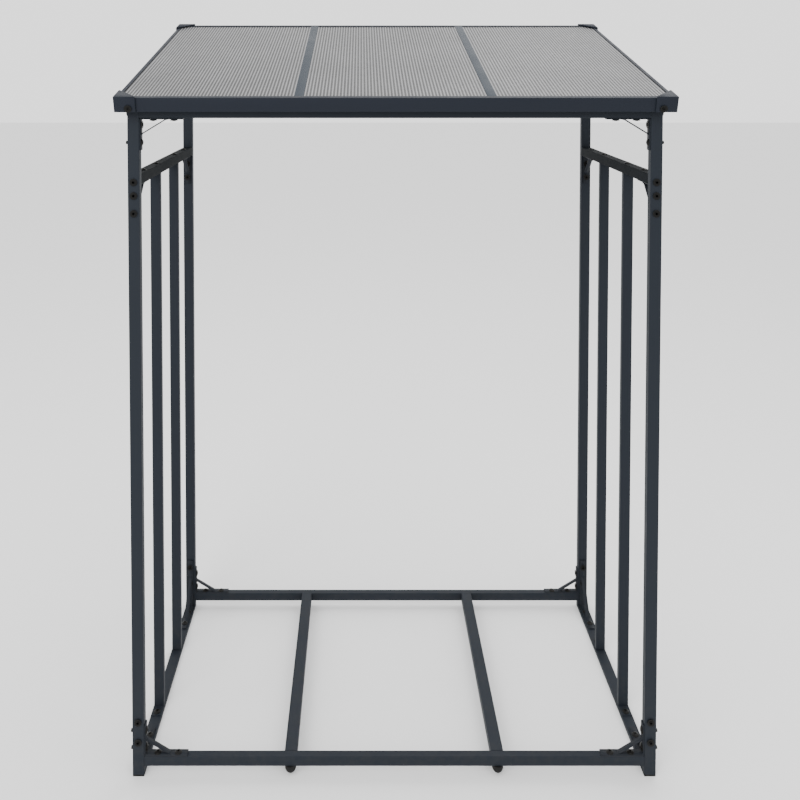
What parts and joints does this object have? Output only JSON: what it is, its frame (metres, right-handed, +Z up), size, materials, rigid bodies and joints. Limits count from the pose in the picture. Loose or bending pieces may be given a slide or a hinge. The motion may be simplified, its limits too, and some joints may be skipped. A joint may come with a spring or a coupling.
{
  "type": "firewood log rack",
  "caption": "Open firewood rack: a bolted frame of dark coated steel tubes with slatted sides, a raised base and a roof of translucent sheets that slopes to the front.",
  "frame": {"origin": "on the ground, at the middle of the whole rack's width and depth", "axes": "+X to the right across the front, +Y from the low front edge of the roof to its high rear edge, +Z up"},
  "size_m": [1.3, 0.7, 1.835],
  "materials": {
    "coated_steel": "fine-textured anthracite powder coat, satin",
    "roof_sheet": "translucent grey twin-wall polycarbonate, smooth and slightly glossy",
    "joiner_strip": "extruded aluminium strip with a satin anthracite coat",
    "black_bolts": "black coated, semi-gloss",
    "black_plastic": "moulded black plastic, matte"
  },
  "bodies": {
    "root": {"bottom_rail_front": "coated_steel", "bottom_rail_rear": "coated_steel", "corner_cap_front_left": "coated_steel", "corner_cap_front_right": "coated_steel", "corner_cap_rear_left": "coated_steel", "corner_cap_rear_right": "coated_steel", "fascia_front": "coated_steel", "fascia_rear": "coated_steel", "floor_bar_left": "coated_steel", "floor_bar_right": "coated_steel", "foot_bracket_front_left": "coated_steel", "foot_bracket_front_right": "coated_steel", "foot_bracket_rear_left": "coated_steel", "foot_bracket_rear_right": "coated_steel", "foot_plug_front_left": "black_plastic", "foot_plug_front_right": "black_plastic", "foot_plug_rear_left": "black_plastic", "foot_plug_rear_right": "black_plastic", "joiner_left": "joiner_strip", "joiner_right": "joiner_strip", "knee_lower_front_left": "coated_steel", "knee_lower_front_right": "coated_steel", "knee_lower_rear_left": "coated_steel", "knee_lower_rear_right": "coated_steel", "knee_upper_front_left": "coated_steel", "knee_upper_front_right": "coated_steel", "knee_upper_rear_left": "coated_steel", "knee_upper_rear_right": "coated_steel", "post_bolts": "black_bolts", "post_front_left": "coated_steel", "post_front_right": "coated_steel", "post_rear_left": "coated_steel", "post_rear_right": "coated_steel", "rafter_left": "coated_steel", "rafter_right": "coated_steel", "rail_bolts": "black_bolts", "roof_bolts": "black_bolts", "roof_sheet_left": "roof_sheet", "roof_sheet_middle": "roof_sheet", "roof_sheet_right": "roof_sheet", "side_bracket_front_left": "coated_steel", "side_bracket_front_right": "coated_steel", "side_bracket_rear_left": "coated_steel", "side_bracket_rear_right": "coated_steel", "side_rail_bottom_left": "coated_steel", "side_rail_bottom_right": "coated_steel", "side_rail_top_left": "coated_steel", "side_rail_top_right": "coated_steel", "side_trim_left": "coated_steel", "side_trim_right": "coated_steel", "slat_left_1": "coated_steel", "slat_left_2": "coated_steel", "slat_right_1": "coated_steel", "slat_right_2": "coated_steel", "support_foot_front_left": "black_plastic", "support_foot_front_right": "black_plastic", "support_foot_rear_left": "black_plastic", "support_foot_rear_right": "black_plastic", "top_beam_front": "coated_steel", "top_beam_rear": "coated_steel"}
  },
  "joints": []
}
